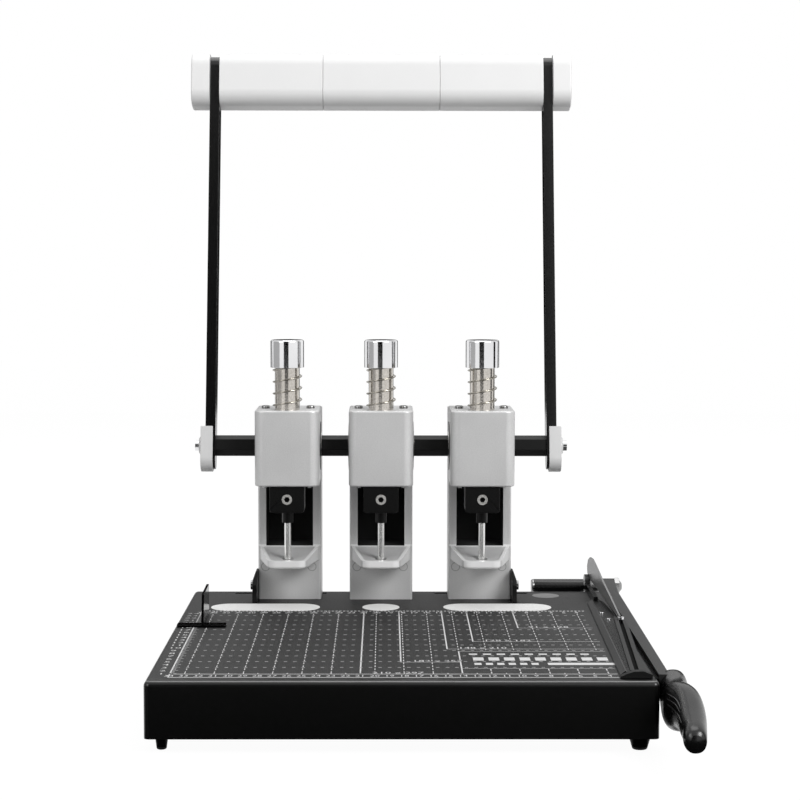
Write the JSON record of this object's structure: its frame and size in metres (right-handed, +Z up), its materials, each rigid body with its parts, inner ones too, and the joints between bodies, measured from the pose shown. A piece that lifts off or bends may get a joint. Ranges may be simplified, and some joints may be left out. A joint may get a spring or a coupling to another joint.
{
  "type": "desk paper punch with side trimmer",
  "caption": "Desk paper punch with sliding punch heads worked by one lever through racks and pinions, on a printed sheet-metal bed with a guillotine trimmer along its right edge.",
  "frame": {"origin": "on the bed's top face, under the middle head's centre plane, in the plane of the towers' front faces that the paper is pushed against", "axes": "+X to the operator's right along the lever's shaft, +Y away from the operator, +Z up"},
  "size_m": [0.3725, 0.4762, 0.504],
  "materials": {
    "bed_paint": "satin black",
    "tower_paint": "silver paint",
    "chrome": "polished",
    "bright_steel": "ground",
    "spring_steel": "plated wire",
    "black_steel": "black",
    "grey_steel": "dark grey paint",
    "pale_steel": "grey satin",
    "white_plastic": "semi-gloss",
    "grey_plastic": "semi-gloss",
    "nylon": "matt white",
    "black_plastic": "moulded",
    "foot_rubber": "matt"
  },
  "bodies": {
    "base": {"bed": "bed_paint", "feet": "foot_rubber", "cutting_pads": "nylon", "pad_tray": "black_steel", "ledger_blade": "bright_steel", "pivot_bracket": "black_steel", "pivot_pin": "chrome", "middle_tower": "tower_paint", "middle_housing": "tower_paint", "middle_bushes": "black_plastic", "middle_ram_guides": "bright_steel", "middle_screws": "chrome", "middle_spring": "spring_steel"},
    "lever": {"shaft": "black_steel", "arms": "black_steel", "grip": "white_plastic", "grip_caps": "white_plastic", "grip_rod": "bright_steel", "hub_covers": "grey_plastic", "hub_screws": "chrome", "middle_pinion": "bright_steel"},
    "left_head": {"left_tower": "tower_paint", "left_housing": "tower_paint", "left_bushes": "black_plastic", "left_ram_guides": "bright_steel", "left_screws": "chrome", "left_spring": "spring_steel", "left_bracket": "black_steel"},
    "right_head": {"right_tower": "tower_paint", "right_housing": "tower_paint", "right_bushes": "black_plastic", "right_ram_guides": "bright_steel", "right_screws": "chrome", "right_spring": "spring_steel", "right_bracket": "black_steel"},
    "left_gear": {"left_pinion": "bright_steel"},
    "right_gear": {"right_pinion": "bright_steel"},
    "left_plunger": {"left_ram": "bright_steel", "left_cap": "chrome", "left_chuck": "black_steel", "left_pin": "chrome", "left_pin_screw": "bright_steel"},
    "middle_plunger": {"middle_ram": "bright_steel", "middle_cap": "chrome", "middle_chuck": "black_steel", "middle_pin": "chrome", "middle_pin_screw": "bright_steel"},
    "right_plunger": {"right_ram": "bright_steel", "right_cap": "chrome", "right_chuck": "black_steel", "right_pin": "chrome", "right_pin_screw": "bright_steel"},
    "stop": {"side_stop": "black_steel"},
    "cutter": {"cutter_arm": "grey_steel", "cutter_blade": "bright_steel", "cutter_grip": "black_plastic", "blade_screws": "chrome"},
    "clamp": {"clamp_bar": "grey_steel", "press_lever": "pale_steel", "clamp_screws": "chrome"}
  },
  "joints": [
    {"name": "lever_swing", "type": "hinge", "parent": "base", "child": "lever", "pos_m": [0, -0.007, 0.129], "axis": [1, 0, 0], "range_deg": [0, 108]},
    {"name": "left_head_slide", "type": "slide", "parent": "base", "child": "left_head", "axis": [1, 0, 0], "range_m": [-0.029, 0.011]},
    {"name": "right_head_slide", "type": "slide", "parent": "base", "child": "right_head", "axis": [1, 0, 0], "range_m": [-0.017, 0.023]},
    {"name": "left_pinion_turn", "type": "hinge", "parent": "left_head", "child": "left_gear", "pos_m": [-0.0758, -0.007, 0.129], "axis": [1, 0, 0], "range_deg": [0, 108]},
    {"name": "right_pinion_turn", "type": "hinge", "parent": "right_head", "child": "right_gear", "pos_m": [0.0819, -0.007, 0.129], "axis": [1, 0, 0], "range_deg": [0, 108]},
    {"name": "left_ram_slide", "type": "slide", "parent": "left_head", "child": "left_plunger", "axis": [0, 0, -1], "range_m": [0, 0.034], "deforming": ["left_spring"]},
    {"name": "middle_ram_slide", "type": "slide", "parent": "base", "child": "middle_plunger", "axis": [0, 0, -1], "range_m": [0, 0.034], "deforming": ["middle_spring"]},
    {"name": "right_ram_slide", "type": "slide", "parent": "right_head", "child": "right_plunger", "axis": [0, 0, -1], "range_m": [0, 0.034], "deforming": ["right_spring"]},
    {"name": "side_stop_slide", "type": "slide", "parent": "base", "child": "stop", "axis": [1, 0, 0], "range_m": [-0.002, 0.06]},
    {"name": "cutter_swing", "type": "hinge", "parent": "base", "child": "cutter", "pos_m": [0.1946, 0.0545, 0.002], "axis": [-1, 0, 0], "range_deg": [0, 65]},
    {"name": "clamp_lift", "type": "hinge", "parent": "base", "child": "clamp", "pos_m": [0.1783, 0.0545, 0.002], "axis": [-1, 0, 0], "range_deg": [0, 8]}
  ],
  "couplings": [
    {"joint": "left_ram_slide", "follows": "lever_swing", "m_per_rad": 0.018},
    {"joint": "middle_ram_slide", "follows": "lever_swing", "m_per_rad": 0.018},
    {"joint": "right_ram_slide", "follows": "lever_swing", "m_per_rad": 0.018},
    {"joint": "left_pinion_turn", "follows": "lever_swing", "ratio": 1},
    {"joint": "right_pinion_turn", "follows": "lever_swing", "ratio": 1},
    {"joint": "clamp_lift", "follows": "cutter_swing", "ratio": 0.12}
  ]
}
